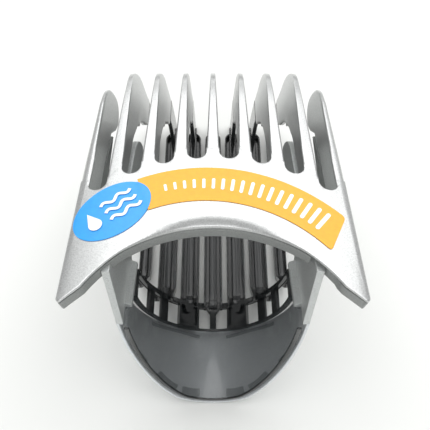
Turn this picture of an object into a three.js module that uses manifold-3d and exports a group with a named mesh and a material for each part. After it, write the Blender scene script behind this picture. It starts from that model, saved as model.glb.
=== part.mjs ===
// Push-on length comb for a hair clipper, lying on its ribs.
// Millimetres. +Z is up, +X is to the right, +Y runs towards the tips of the teeth.
// The shapes are laid out with y = 0 at the cross hoop and z = 0 at the underside of the ribs. The
// finished group is then moved so that its origin is the middle of the underside of its box.
import * as THREE from "three";
import { mergeVertices } from "three/addons/utils/BufferGeometryUtils.js";
import Module from "manifold-3d";

const wasm = await Module();
wasm.setup();

// Clearances between pieces that are bonded or laid on each other.
const bondGap = 0.3;

// Teeth.
const toothPitch = 6.2;
const toothRootWidth = 2.6;
const toothTipWidth = 1.15;
const toothBevel = 0.25;
const outerToothInset = 0.25;
const outerToothWidth = 1.9;
const toothTipY = 39.5;
const tipSpread = 1.5;
const noseDepth = 62.7;

// Crowned silver face.
const faceHalfWidth = 25.2;
const faceEdgeY = -2;
const faceEdgeHeight = 53;
const faceFall = 0.153;
const crownRadius = 105;
const crownSteps = 28;
const skinThickness = 0.7;
const neckArcRadius = 26;
const neckArcHalfWidth = 21.3;
const wingTipY = -15.6;
const wingCornerRadius = 0.9;
const slotArcY = 13.4;
const slotArcRadius = 40;

// Frame under the face.
const frameThickness = 2.8;
const frameSetBack = 4.2;
const notchFromX = 16.4;
const notchToX = 20.6;
const notchDepth = 1.1;
const notchHeight = 1.4;

// Side walls and their guide rails.
const wallThickness = 1.4;
const wallOuterX = 18.6;
const wallFootHeight = 34.5;
const wallLap = 0.5;
const wallFarHeight = 31.2;
const armFarY = 32;
const armFootHeight = 26;
const railWidth = 1.2;
const railThickness = 1.3;
const railSlope = 1.2;
const railNearY = -10;
const railNearHeight = 33.9;
const railFarY = 0.5;
const railFall = 0.287;

// Inner webs that back the two outer teeth.
const webThickness = 1.2;
const webDepth = 0.5;

// Outer shell and smoke liner: half ellipses below the curve top, upright from there to the walls' foot.
const curveTopHeight = 29;
const shellThickness = 0.6;
const linerGap = 0.55;
const linerThickness = 0.9;
const padThickness = 0.12;

// The scoop's rim: nearly upright at first, then swept forwards and down to its foot.
const rimTopY = -13.9;
const rimWaistY = -14.8;
const rimWaistHeight = 26.5;
const rimSweepY = -16.5;
const rimSweepHeight = 16.4;
const rimFootY = -22.7;
const rimFootHeight = 3.2;
const scoopFarY = -5.8;

// Window ring, hoop and ribs. The ring's blocks, stems and corners keep their distance from the walls.
const hoopNearY = -0.5;
const hoopFarY = 1.2;
const hoopTopHeight = 21;
const postHalfWidth = 0.85;
const blockInnerX = 3.9;
const blockOuterX = wallOuterX - 9.4;
const stemInnerX = wallOuterX - 7;
const stemOuterX = wallOuterX - 5.4;
const cornerX = wallOuterX - 3.2;
const ribWidth = 4.8;
const outerRibWidth = 3.2;
const ribWallThickness = 0.5;
const ribCoreWidth = 2;
const ribHeight = 2.6;
const ribFloorThickness = 0.9;
const ribFarY = 57;
const bladeWidth = 1.2;
const bladeTopHeight = 20.2;

// Stickers.
const stickerThickness = 0.2;
const bandCentreX = -1.5;
const bandCentreY = -25.8;
const bandInnerRadius = 28.7;
const bandOuterRadius = 36.5;
const bandCorner = 0.9;
const bandOuterStartAngle = THREE.MathUtils.degToRad(46.5);
const bandInnerStartAngle = THREE.MathUtils.degToRad(41.8);
const bandEndAngle = THREE.MathUtils.degToRad(108);
const ovalX = -17.9;
const ovalY = 1.7;
const ovalHalfLength = 7.6;
const ovalHalfWidth = 5.5;
const ovalTurn = THREE.MathUtils.degToRad(38);

const silver = (name) =>
  new THREE.MeshStandardMaterial({ name, color: 0xc9cbcd, roughness: 0.38, metalness: 0.55 });
const frameSilver = new THREE.MeshStandardMaterial({
  name: "frame_silver", color: 0xa4a6a6, roughness: 0.42, metalness: 0.5,
});
const smoke = new THREE.MeshStandardMaterial({
  name: "smoke_clear", color: 0x44474a, roughness: 0.18, metalness: 0, transparent: true, opacity: 0.6,
});
const orange = new THREE.MeshStandardMaterial({ name: "orange_film", color: 0xffc32d, roughness: 0.45 });
const blue = new THREE.MeshStandardMaterial({ name: "blue_film", color: 0x38b6ff, roughness: 0.45 });
const bond = new THREE.MeshStandardMaterial({ name: "bond_grey", color: 0x6c7073, roughness: 0.5 });

// Solids from three.js geometry.
function solid(geometry) {
  const bare = geometry.index ? geometry.toNonIndexed() : geometry.clone();
  bare.deleteAttribute("normal");
  bare.deleteAttribute("uv");
  const merged = mergeVertices(bare, 1e-4);
  return new wasm.Manifold(
    new wasm.Mesh({
      numProp: 3,
      vertProperties: merged.attributes.position.array,
      triVerts: new Uint32Array(merged.index.array),
    }),
  );
}

function named(name, body, material) {
  const mesh = body.getMesh();
  const geometry = new THREE.BufferGeometry();
  geometry.setAttribute("position", new THREE.BufferAttribute(new Float32Array(mesh.vertProperties), 3));
  geometry.setIndex(new THREE.BufferAttribute(new Uint32Array(mesh.triVerts), 1));
  const flat = geometry.toNonIndexed();
  flat.computeVertexNormals();
  const result = new THREE.Mesh(flat, material);
  result.name = name;
  return result;
}

const axisX = new THREE.Vector3(1, 0, 0);
const axisY = new THREE.Vector3(0, 1, 0);
const axisZ = new THREE.Vector3(0, 0, 1);
const sideways = new THREE.Matrix4().makeBasis(axisY, axisZ, axisX);
const lengthways = new THREE.Matrix4().makeBasis(axisX, axisZ, axisY.clone().negate());

// A shape in (y, z) pushed along X, in (x, z) pushed along Y, and in (x, y) pushed along Z.
function alongX(shape, from, to, curveSegments = 10) {
  const geometry = new THREE.ExtrudeGeometry(shape, { depth: to - from, bevelEnabled: false, curveSegments });
  return geometry.translate(0, 0, from).applyMatrix4(sideways);
}

function alongY(shape, from, to, curveSegments = 10) {
  const geometry = new THREE.ExtrudeGeometry(shape, { depth: to - from, bevelEnabled: false, curveSegments });
  return geometry.translate(0, 0, -to).applyMatrix4(lengthways);
}

function alongZ(shape, from, to, curveSegments = 16) {
  const geometry = new THREE.ExtrudeGeometry(shape, { depth: to - from, bevelEnabled: false, curveSegments });
  return geometry.translate(0, 0, from);
}

const polygon = (...points) => new THREE.Shape(points.map(([a, b]) => new THREE.Vector2(a, b)));
const rectangle = (a0, b0, a1, b1) => polygon([a0, b0], [a1, b0], [a1, b1], [a0, b1]);
const box = (x0, y0, z0, x1, y1, z1) => solid(alongZ(rectangle(x0, y0, x1, y1), z0, z1));

// The face: its height on the middle line, the fall of its crown, and its slot-bottom arc.
const sag = (radius, x) => radius - Math.sqrt(radius * radius - x * x);
const crownDrop = (x) => sag(crownRadius, x);
const faceHeight = (y) => faceEdgeHeight - faceFall * (y - faceEdgeY);
const slotBottomY = (x) => slotArcY - sag(slotArcRadius, x);
const neckEdgeY = (x) => faceEdgeY - sag(neckArcRadius, x);
const tall = faceEdgeHeight + 10;

// Squeezes a side outline down to the crowned face at each x, and leaves the floor where it is.
function crown(geometry) {
  const position = geometry.attributes.position;
  for (let i = 0; i < position.count; i++) {
    const squeeze = 1 - crownDrop(position.getX(i)) / faceHeight(position.getY(i));
    position.setZ(i, position.getZ(i) * squeeze);
  }
  return geometry;
}

// A layer that follows the crowned, falling face between two depths below it.
function crownedLayer(topDepth, bottomDepth) {
  const section = new THREE.Shape();
  const xs = Array.from({ length: crownSteps + 1 }, (_, i) => faceHalfWidth * ((2 * i) / crownSteps - 1));
  section.setFromPoints([
    ...xs.map((x) => new THREE.Vector2(x, -crownDrop(x) - bottomDepth)),
    ...xs.reverse().map((x) => new THREE.Vector2(x, -crownDrop(x) - topDepth)),
  ]);
  const slope = new THREE.Matrix4().set(
    1, 0, 0, 0,
    0, 1, 0, 0,
    0, -faceFall, 1, faceHeight(0),
    0, 0, 0, 1,
  );
  return solid(alongY(section, wingTipY - 5, noseDepth).applyMatrix4(slope));
}

// Plan of the face from its arched near edge and wing tips to an arc that a set-back moves nearer.
function facePlan(setBack) {
  const farRadius = slotArcRadius - setBack;
  const farCentreY = slotArcY - slotArcRadius;
  const farAngle = Math.acos(faceHalfWidth / farRadius);
  const neckCentreY = faceEdgeY - neckArcRadius;
  const neckAngle = Math.acos(neckArcHalfWidth / neckArcRadius);
  const plan = new THREE.Shape();
  plan.moveTo(faceHalfWidth, wingTipY + wingCornerRadius);
  plan.absarc(0, farCentreY, farRadius, farAngle, Math.PI - farAngle, false);
  plan.lineTo(-faceHalfWidth, wingTipY + wingCornerRadius);
  plan.quadraticCurveTo(-faceHalfWidth, wingTipY, wingCornerRadius - faceHalfWidth, wingTipY + 0.2);
  plan.absarc(0, neckCentreY, neckArcRadius, Math.PI - neckAngle, neckAngle, true);
  plan.lineTo(faceHalfWidth - wingCornerRadius, wingTipY + 0.2);
  plan.quadraticCurveTo(faceHalfWidth, wingTipY, faceHalfWidth, wingTipY + wingCornerRadius);
  return solid(alongZ(plan, 0, tall, 40));
}

const toothWidthAt = (y) => {
  const along = THREE.MathUtils.clamp((y - slotArcY) / (toothTipY - slotArcY), 0, 1);
  return THREE.MathUtils.lerp(1, toothTipWidth / toothRootWidth, along);
};

// The tips of the full teeth lie a little further out towards the sides. Their roots and feet stay in line.
function tipShift(x, y, z) {
  const outermost = 3 * toothPitch;
  if (Math.abs(x) > outermost + 0.1) return 0;
  const alongTooth = THREE.MathUtils.smoothstep(y, 22, 38);
  const aboveFoot = THREE.MathUtils.smoothstep(z, bladeTopHeight + 1, 38);
  return tipSpread * (x / outermost) ** 2 * alongTooth * aboveFoot;
}

// The round-bottomed slot to the right of tooth number i, cut only where its round bottom lies.
function slotBottom(i) {
  const middle = (i + 0.5) * toothPitch;
  const radius = (toothPitch - toothRootWidth) / 2;
  const centreY = slotBottomY(middle) + radius;
  const plan = new THREE.Shape();
  plan.moveTo(middle - radius, centreY);
  plan.absarc(middle, centreY, radius, Math.PI, 2 * Math.PI, false);
  plan.lineTo(middle + radius, centreY + 3 * radius);
  plan.lineTo(middle - radius, centreY + 3 * radius);
  return solid(alongZ(plan, 0, tall, 14));
}

// Side outline of a full tooth: flat along the face, round the nose, and back along its inner edge.
function toothOutline(rootY) {
  const outline = new THREE.Shape();
  outline.moveTo(rootY, faceHeight(rootY));
  outline.lineTo(rootY, faceHeight(rootY) - skinThickness);
  outline.lineTo(rootY + 2, faceHeight(rootY + 2) - 0.9);
  outline.quadraticCurveTo(rootY + 6, faceHeight(rootY + 6) - 2.2, 25, 41);
  outline.lineTo(34.2, 34.6);
  outline.lineTo(35.4, 32.6);
  outline.lineTo(37, 32.4);
  outline.quadraticCurveTo(42, 27, 44, 23.6);
  outline.lineTo(46.4, 20.7);
  outline.lineTo(55.2, 20.9);
  outline.splineThru([[51, 28.9], [46.5, 37.7], [42.6, 43], [39.2, 45.9], [35, 47.1]].map(
    ([y, z]) => new THREE.Vector2(y, z),
  ));
  outline.lineTo(32, faceHeight(32));
  outline.closePath();
  return outline;
}

// Lower edge of the two outer teeth, which the frame's inner web continues below.
const outerToothFoot = [[10.8, 43.1], [22, 40.3], [31, 37.6]];

// The two outer teeth are shorter: they curve down early and end well above the ribs.
function outerToothOutline(rootY) {
  const points = (list) => list.map(([y, z]) => new THREE.Vector2(y, z));
  const outline = new THREE.Shape();
  outline.moveTo(rootY, faceHeight(rootY));
  outline.lineTo(rootY, faceHeight(rootY) - skinThickness);
  outline.lineTo(rootY + 1, faceHeight(rootY + 1) - 3);
  outline.splineThru(points(outerToothFoot));
  outline.splineThru(points([
    [35, 33.4], [39, 31.2], [42.6, 33], [42.8, 37], [40, 42.8], [36.6, 46.2], [32.5, 48],
  ]));
  outline.lineTo(29, faceHeight(29));
  outline.closePath();
  return outline;
}

// A tooth with rounded edges, thinner towards its tip, under the crowned face.
function tooth(outline, x, width) {
  const geometry = new THREE.ExtrudeGeometry(outline, {
    depth: width - 2 * toothBevel,
    bevelThickness: toothBevel,
    bevelSize: toothBevel,
    bevelOffset: -toothBevel,
    bevelSegments: 1,
    curveSegments: 6,
  });
  geometry.translate(0, 0, toothBevel - width / 2).applyMatrix4(sideways);
  const position = geometry.attributes.position;
  for (let i = 0; i < position.count; i++) {
    const [y, z] = [position.getY(i), position.getZ(i)];
    position.setX(i, x + position.getX(i) * toothWidthAt(y));
    position.setY(i, y + tipShift(x, y, z));
  }
  return solid(crown(geometry));
}

function faceComb() {
  const radius = (toothPitch - toothRootWidth) / 2;
  let face = crownedLayer(0, skinThickness).intersect(facePlan(-radius));
  for (let i = -4; i < 4; i++) face = face.subtract(slotBottom(i));
  for (let i = -3; i <= 3; i++) {
    const x = i * toothPitch;
    face = face.add(tooth(toothOutline(slotBottomY(x) - 3), x, toothRootWidth));
  }
  for (const side of [-1, 1]) {
    const x = side * (faceHalfWidth - outerToothInset - outerToothWidth / 2);
    face = face.add(tooth(outerToothOutline(slotBottomY(x) - 3), x, outerToothWidth));
  }
  return face;
}

// A U-shaped trough wall between two half ellipses, along y.
function trough(outerX, bottom, thickness, nearY, farY) {
  const section = new THREE.Shape();
  const top = curveTopHeight;
  section.moveTo(outerX, wallFootHeight + 1);
  section.lineTo(outerX - thickness, wallFootHeight + 1);
  section.absellipse(0, top, outerX - thickness, top - bottom - thickness, 0, -Math.PI, true);
  section.lineTo(thickness - outerX, wallFootHeight + 1);
  section.lineTo(-outerX, wallFootHeight + 1);
  section.absellipse(0, top, outerX, top - bottom, Math.PI, 2 * Math.PI, false);
  return solid(alongY(section, nearY, farY, 20));
}

// Side outline of the scoop: swept rim, flat far edge, and a top that steps down under the guide rail.
function scoopSide(rimInset, top) {
  const railUnder = railNearHeight - railThickness - bondGap;
  const outline = new THREE.Shape();
  outline.moveTo(rimTopY + rimInset, top);
  outline.lineTo(rimWaistY + rimInset, rimWaistHeight);
  outline.quadraticCurveTo(rimSweepY + rimInset, rimSweepHeight, rimFootY + rimInset, rimFootHeight);
  outline.lineTo(rimFootY + rimInset - 0.6, 0);
  outline.lineTo(scoopFarY, 0);
  outline.lineTo(scoopFarY, Math.min(top, railUnder - railFall * (scoopFarY - railNearY)));
  outline.lineTo(railNearY - bondGap, Math.min(top, railUnder));
  outline.lineTo(railNearY - bondGap, top);
  return solid(alongX(outline, -faceHalfWidth, faceHalfWidth, 8));
}

// Side wall: near edge, foot that steps down to the rail, and an arm that backs the next tooth.
function sideWall(side) {
  const topAt = (y) => faceHeight(y) - crownDrop(wallOuterX) - skinThickness - bondGap - wallLap;
  const nearTopY = neckEdgeY(wallOuterX) - 0.2;
  const railFoot = (y) => railNearHeight - railThickness - railFall * (y - railNearY);
  const plateFarY = slotBottomY(wallOuterX) - frameSetBack - 1;
  const outline = new THREE.Shape();
  outline.moveTo(rimTopY, wallFootHeight - wallLap);
  outline.lineTo(railNearY, wallFootHeight - wallLap);
  outline.lineTo(railNearY, railFoot(railNearY));
  outline.lineTo(railFarY, railFoot(railFarY));
  outline.lineTo(railFarY + 1, wallFarHeight);
  outline.lineTo(railFarY + 4, wallFarHeight);
  outline.quadraticCurveTo(16, armFootHeight + 1.5, armFarY - 8, armFootHeight);
  outline.quadraticCurveTo(armFarY, armFootHeight - 0.5, armFarY, armFootHeight + 3.5);
  outline.quadraticCurveTo(armFarY - 1, armFootHeight + 7.5, 28, 36.2);
  outline.lineTo(25, 38.2);
  outline.quadraticCurveTo(16, 40.5, plateFarY + 5, 43);
  outline.lineTo(plateFarY + 0.3, 45.8);
  outline.lineTo(plateFarY, topAt(plateFarY));
  outline.lineTo(nearTopY, topAt(nearTopY));
  outline.closePath();
  const inner = side > 0 ? wallOuterX - wallThickness : -wallOuterX;
  return solid(alongX(outline, inner, inner + wallThickness, 8));
}

// Inner web of an outer tooth: it hangs from the plate and runs just under the tooth's lower edge.
function outerWeb(side) {
  const x = faceHalfWidth - outerToothInset - outerToothWidth / 2;
  const drop = crownDrop(x) + bondGap;
  const foot = outerToothFoot[2][1] - drop - webDepth;
  const plateFoot = (y) => faceHeight(y) - crownDrop(x) - skinThickness - bondGap - frameThickness;
  const outline = new THREE.Shape();
  outline.moveTo(-6, plateFoot(-6) - 0.5);
  outline.quadraticCurveTo(2, foot + 2, 14, foot);
  outline.lineTo(28, foot - 0.5);
  outline.quadraticCurveTo(32, foot - 0.5, 31.5, outerToothFoot[2][1] - 0.6 - drop);
  outline.splineThru([[22, outerToothFoot[1][1] - drop], [10.8, outerToothFoot[0][1] - drop]].map(
    ([y, z]) => new THREE.Vector2(y, z),
  ));
  outline.lineTo(3, outerToothFoot[0][1] + 4.6 - drop);
  outline.lineTo(-1.5, plateFoot(-1.5) + 0.6);
  outline.lineTo(-6, plateFoot(-6) + 0.6);
  outline.closePath();
  const inner = side > 0 ? x - webThickness / 2 : -x - webThickness / 2;
  return solid(alongX(outline, inner, inner + webThickness, 8));
}

// A rail with a sloping top: highest where it meets the wall.
function guideRail(side) {
  const wallX = wallOuterX - wallThickness;
  const section = polygon(
    [side * (wallX - railWidth), railNearHeight - railThickness],
    [side * (wallX + 0.4), railNearHeight - railThickness],
    [side * (wallX + 0.4), railNearHeight + railSlope],
    [side * wallX, railNearHeight + railSlope],
    [side * (wallX - railWidth), railNearHeight],
  );
  const fall = new THREE.Matrix4().set(
    1, 0, 0, 0,
    0, 1, 0, 0,
    0, -railFall, 1, railFall * railNearY,
    0, 0, 0, 1,
  );
  return solid(alongY(section, railNearY, railFarY).applyMatrix4(fall));
}

function sideFrame() {
  const top = skinThickness + bondGap;
  let frame = crownedLayer(top, top + frameThickness).intersect(facePlan(frameSetBack));
  const notchTop = faceHeight(neckEdgeY(notchFromX)) - crownDrop(notchFromX) - top - notchHeight + 0.7;
  const notchFarY = neckEdgeY(notchFromX) + notchDepth;
  frame = frame.subtract(box(notchFromX, wingTipY, 0, notchToX, notchFarY, notchTop));
  for (const side of [-1, 1]) frame = frame.add(sideWall(side)).add(guideRail(side)).add(outerWeb(side));
  const shell = trough(wallOuterX, 0, shellThickness, rimFootY - 2, scoopFarY);
  return frame.add(shell.intersect(scoopSide(0, wallFootHeight)));
}

const linerOuterX = wallOuterX - shellThickness - linerGap;
const linerBottom = shellThickness + linerGap;

// Side outline of a rib: down from the hoop, then flat along the floor at one thickness.
function ribSide(hoopHeight, thickness) {
  const side = new THREE.Shape();
  side.moveTo(hoopNearY, hoopHeight);
  side.lineTo(hoopNearY, Math.max(hoopHeight - 3, 1.8));
  side.quadraticCurveTo(1.2, 0.6 * hoopHeight, 1.4 + 0.35 * hoopHeight, 0);
  side.lineTo(ribFarY + 0.9, 0);
  side.lineTo(ribFarY, thickness);
  side.lineTo(8 + 0.6 * hoopHeight, thickness);
  side.quadraticCurveTo(2 + 0.35 * hoopHeight, thickness + 0.1 * hoopHeight, hoopFarY, hoopHeight);
  side.closePath();
  return side;
}

// One long rib: a channel with a core along its middle, and a thin blade up the nose to its tooth.
function rib(i) {
  const x = i * toothPitch;
  const inside = linerOuterX - linerThickness;
  const reach = Math.min(Math.abs(x) / inside, 1);
  const depth = curveTopHeight - linerBottom - linerThickness;
  const hoopHeight = Math.min(curveTopHeight - depth * Math.sqrt(1 - reach * reach), hoopTopHeight);
  const half = (Math.abs(i) === 3 ? outerRibWidth : ribWidth) / 2;
  const strip = (thickness, from, to) => solid(alongX(ribSide(hoopHeight, thickness), x + from, x + to, 6));
  const blade = new THREE.Shape();
  blade.moveTo(noseDepth, 0);
  const nose = [[60.5, 6.5], [58, 13.5], [55.5, bladeTopHeight]];
  blade.splineThru(nose.map(([y, z]) => new THREE.Vector2(y, z)));
  blade.lineTo(48.2, bladeTopHeight);
  blade.quadraticCurveTo(53.2, 10, 52, ribHeight - 0.4);
  blade.lineTo(50, 0.4);
  blade.lineTo(50, 0);
  blade.closePath();
  return strip(ribFloorThickness, -half, half)
    .add(strip(ribHeight, -half, ribWallThickness - half))
    .add(strip(ribHeight, half - ribWallThickness, half))
    .add(strip(ribHeight, -ribCoreWidth / 2, ribCoreWidth / 2))
    .add(solid(crown(alongX(blade, x - bladeWidth / 2, x + bladeWidth / 2))));
}

function windows() {
  const low = scoopFarY + 1;
  const spans = [[postHalfWidth, blockInnerX], [blockOuterX, stemInnerX], [stemOuterX, cornerX]];
  const holes = [];
  for (const side of [-1, 1]) {
    for (const [a, b] of spans) {
      const [x0, x1] = side > 0 ? [a, b] : [-b, -a];
      holes.push(box(x0, low, -1, x1, hoopNearY, curveTopHeight));
    }
    const [x0, x1] = side > 0 ? [cornerX + 0.4, wallOuterX] : [-wallOuterX, -cornerX - 0.4];
    holes.push(box(x0, low, hoopTopHeight - 6, x1, hoopNearY, hoopTopHeight - 1.2));
  }
  return holes.reduce((all, hole) => all.add(hole));
}

function ribLiner() {
  const wall = (nearY, farY) => trough(linerOuterX, linerBottom, linerThickness, nearY, farY);
  const scoop = wall(rimFootY - 2, scoopFarY).intersect(scoopSide(0.2, wallFootHeight - wallLap - bondGap));
  const low = box(-faceHalfWidth, rimFootY, 0, faceHalfWidth, hoopFarY, hoopTopHeight);
  let liner = wall(scoopFarY - 0.5, hoopFarY).intersect(low).subtract(windows()).add(scoop);
  for (const side of [-1, 1]) {
    const reach = Math.max(wallOuterX, 3 * toothPitch) - 0.2;
    const [x0, x1] = side > 0 ? [cornerX + 0.5, reach] : [-reach, -cornerX - 0.5];
    liner = liner.add(box(x0, hoopNearY, hoopTopHeight - 3, x1, hoopFarY, hoopTopHeight));
  }
  for (let i = -3; i <= 3; i++) liner = liner.add(rib(i));
  return liner;
}

// Thin bond pads in the gap between the liner and the shell. Each is a round-ended strip in plan.
function bondPad(points, width) {
  const outerX = linerOuterX + (linerGap + padThickness) / 2;
  const bottom = (linerBottom + shellThickness - padThickness) / 2;
  const band = trough(outerX, bottom, padThickness, rimFootY, scoopFarY);
  const path = new THREE.SplineCurve(points.map(([x, y]) => new THREE.Vector2(x, y)));
  const steps = 12;
  const plan = Array.from({ length: steps + 1 }, (_, i) => {
    const at = path.getPoint(i / steps);
    const across = path.getTangent(i / steps);
    return { at, across: new THREE.Vector2(-across.y, across.x).multiplyScalar(width / 2) };
  });
  const shape = new THREE.Shape([
    ...plan.map(({ at, across }) => at.clone().sub(across)),
    ...plan.reverse().map(({ at, across }) => at.clone().add(across)),
  ]);
  return band.intersect(solid(alongZ(shape, -1, wallFootHeight)));
}

const padPaths = [
  ["rim_pad_outer", [[-0.722, -18.0], [-0.607, -19.6], [-0.493, -20.5]], 1.4],
  ["rim_pad_inner", [[-0.424, -20.9], [-0.298, -21.2], [-0.183, -21.1]], 1.9],
  ["far_strip", [[-0.825, -7.3], [-0.516, -6.9], [-0.195, -7.6]], 0.8],
  ["side_strip", [[-0.991, -14.9], [-0.928, -15.4], [-0.854, -16.4]], 0.7],
];

function bondPads() {
  return padPaths.flatMap(([name, points, width]) => {
    const path = points.map(([share, y]) => [share * linerOuterX, y]);
    const mirrored = path.map(([x, y]) => [-x, y]).reverse();
    return [
      named(`${name}_left`, bondPad(path, width), bond),
      named(`${name}_right`, bondPad(mirrored, width), bond),
    ];
  });
}

// Stickers: thin films that follow the crowned face.
const filmLayer = (lift) => crownedLayer(-lift - stickerThickness, -lift);

function bandPlan() {
  const at = (radius, angle) => [
    bandCentreX + radius * Math.cos(angle),
    bandCentreY + radius * Math.sin(angle),
  ];
  const outerTurn = bandOuterStartAngle + bandCorner / bandOuterRadius;
  const innerTurn = bandInnerStartAngle + bandCorner / bandInnerRadius;
  const cornerShare = bandCorner / (bandOuterRadius - bandInnerRadius);
  const alongEnd = (share) => at(
    THREE.MathUtils.lerp(bandInnerRadius, bandOuterRadius, share),
    THREE.MathUtils.lerp(bandInnerStartAngle, bandOuterStartAngle, share),
  );
  const plan = new THREE.Shape();
  plan.absarc(bandCentreX, bandCentreY, bandOuterRadius, outerTurn, bandEndAngle, false);
  plan.absarc(bandCentreX, bandCentreY, bandInnerRadius, bandEndAngle, innerTurn, true);
  plan.quadraticCurveTo(...alongEnd(0), ...alongEnd(cornerShare));
  plan.lineTo(...alongEnd(1 - cornerShare));
  plan.quadraticCurveTo(...alongEnd(1), ...at(bandOuterRadius, outerTurn));
  return solid(alongZ(plan, 0, tall, 24));
}

function ovalPlan(margin) {
  const plan = new THREE.Shape();
  const [halfLength, halfWidth] = [ovalHalfLength + margin, ovalHalfWidth + margin];
  plan.absellipse(ovalX, ovalY, halfLength, halfWidth, 0, 2 * Math.PI, false, ovalTurn);
  return solid(alongZ(plan, 0, tall, 24));
}

const lengthLabel = () => filmLayer(bondGap).intersect(bandPlan()).subtract(ovalPlan(bondGap));
const washLabel = () => filmLayer(bondGap).intersect(ovalPlan(0));

const comb = new THREE.Group();
comb.add(named("face_comb", faceComb(), silver("face_silver")));
comb.add(named("side_frame", sideFrame(), frameSilver));
comb.add(named("rib_liner", ribLiner(), smoke));
comb.add(named("length_label", lengthLabel(), orange));
comb.add(named("wash_label", washLabel(), blue));
comb.add(...bondPads());

// Stand the comb on the origin, in the middle of its box.
const bounds = new THREE.Box3().setFromObject(comb);
const middle = bounds.getCenter(new THREE.Vector3());
comb.position.set(-middle.x, -middle.y, -bounds.min.z);

export default comb;
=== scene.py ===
# %% [markdown]
# # A clipper comb, from its fixed frame to a finished picture
# This lesson dresses a push-on length comb for a hair clipper. The CAD model comes in first and never
# changes: it says where each piece sits and how large it is. Everything made below is measured from it.

# %% Load the frame
import math

import bmesh
import bpy
import numpy as np
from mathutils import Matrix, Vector


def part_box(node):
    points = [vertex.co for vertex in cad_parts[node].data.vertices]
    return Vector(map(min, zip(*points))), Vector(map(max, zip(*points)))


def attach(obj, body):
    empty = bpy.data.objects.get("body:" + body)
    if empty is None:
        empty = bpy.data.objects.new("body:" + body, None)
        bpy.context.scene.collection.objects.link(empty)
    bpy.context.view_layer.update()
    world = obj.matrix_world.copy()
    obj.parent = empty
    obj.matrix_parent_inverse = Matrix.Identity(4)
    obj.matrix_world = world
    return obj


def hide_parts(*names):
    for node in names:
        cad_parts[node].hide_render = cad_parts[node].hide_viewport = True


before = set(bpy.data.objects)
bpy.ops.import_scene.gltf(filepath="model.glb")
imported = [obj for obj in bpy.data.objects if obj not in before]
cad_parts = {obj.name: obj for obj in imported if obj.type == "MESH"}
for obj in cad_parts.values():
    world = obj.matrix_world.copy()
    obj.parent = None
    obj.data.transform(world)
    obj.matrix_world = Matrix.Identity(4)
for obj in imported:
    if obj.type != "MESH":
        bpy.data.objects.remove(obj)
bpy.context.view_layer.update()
MM = 0.001

# %% [markdown]
# The comb was drawn with its zero at the cross hoop, where the ribs start. The nose of the ribs is the far
# end of the clear moulding, so the frame gives that zero back: nose less the known rib length.

# %% Places measured from the frame
NOSE_DEPTH = 62.7
liner_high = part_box("rib_liner")[1]
face_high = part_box("face_comb")[1]
HOOP_Y = liner_high[1] - NOSE_DEPTH * MM
FACE_HALF_WIDTH = face_high[0] / MM


def row(x, s, h):
    """A point x across, s along from the hoop and h up, in millimetres, as a place in the frame."""
    return Vector((x * MM, HOOP_Y + s * MM, h * MM))


print("hoop at", round(HOOP_Y / MM, 2), "mm, face half width", round(FACE_HALF_WIDTH, 2), "mm")

# %% [markdown]
# A camera is a place, a direction and a lens. This one stands in front of the scoop and looks down at the
# comb by 61 degrees, near enough for the perspective to spread the wings.

# %% Camera
VIEW_DOWN = math.radians(61)
LENS = 41.0
eye = row(0, -41.1, 126.4)
camera = bpy.data.objects.new("camera", bpy.data.cameras.new("camera"))
bpy.context.scene.collection.objects.link(camera)
camera.location = eye
camera.rotation_euler = (math.radians(90) - VIEW_DOWN, 0, 0)
camera.data.lens = LENS
camera.data.sensor_width = 36
camera.data.shift_x = 0.0047
camera.data.clip_start, camera.data.clip_end = 0.005, 20
bpy.context.scene.camera = camera
print("camera at", [round(v, 4) for v in eye])

# %% [markdown]
# Shader maths is easier to read as arithmetic. This small class wraps one socket, so that `1 - mask` adds a
# Math node, and its `node` method adds any other kind of node.


# %% Shader helper
class Socket:
    """One output socket of a node tree. Arithmetic on it adds Math nodes."""

    def __init__(self, tree, socket):
        self.tree, self.socket = tree, socket

    def node(self, kind, settings=None, inputs=None, output=0):
        """Adds a node of any kind: its settings first, then the values or links of its inputs."""
        made = self.tree.nodes.new(kind)
        for name, value in (settings or {}).items():
            if name == "stops":
                set_stops(made.color_ramp, value)
            else:
                setattr(made, name, value)
        for name, value in (inputs or {}).items():
            if isinstance(value, Socket):
                self.tree.links.new(value.socket, made.inputs[name])
            else:
                made.inputs[name].default_value = value
        return Socket(self.tree, made.outputs[output])

    def maths(self, operation, first, second):
        return self.node("ShaderNodeMath", {"operation": operation}, {0: first, 1: second})

    def __add__(self, other):
        return self.maths("ADD", self, other)

    def __mul__(self, other):
        return self.maths("MULTIPLY", self, other)

    def __sub__(self, other):
        return self.maths("SUBTRACT", self, other)

    def __rsub__(self, other):
        return self.maths("SUBTRACT", other, self)

    __radd__, __rmul__ = __add__, __mul__


def set_stops(ramp, stops):
    """Gives a colour ramp its stops: (position, grey or colour) pairs."""
    while len(ramp.elements) < len(stops):
        ramp.elements.new(1)
    for element, (position, colour) in zip(ramp.elements, stops):
        element.position = position
        element.color = (*colour, 1) if isinstance(colour, tuple) else (colour, colour, colour, 1)


def new_material(name, **constants):
    """A Principled material with constant sockets set by name. Returns it, its shader and its space."""
    material = bpy.data.materials.new(name)
    material.use_nodes = True
    tree = material.node_tree
    shader = tree.nodes["Principled BSDF"]
    for key, value in constants.items():
        shader.inputs[key.replace("_", " ")].default_value = value
    place = tree.nodes.new("ShaderNodeTexCoord")
    return material, shader, Socket(tree, place.outputs["Object"])


def feed(shader, name, value):
    """Links a varying value to one input of the shader."""
    value.tree.links.new(value.socket, shader.inputs[name])


print("helper ready:", Socket.__name__)

# %% [markdown]
# Silver plastic is clear paint over fine metal flakes. Up close it sparkles grain by grain, and from further
# off the grains blend to a satin grey. A very fine noise tilts the surface and shades it, and a broad weak
# noise keeps large areas from looking computed.


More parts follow.
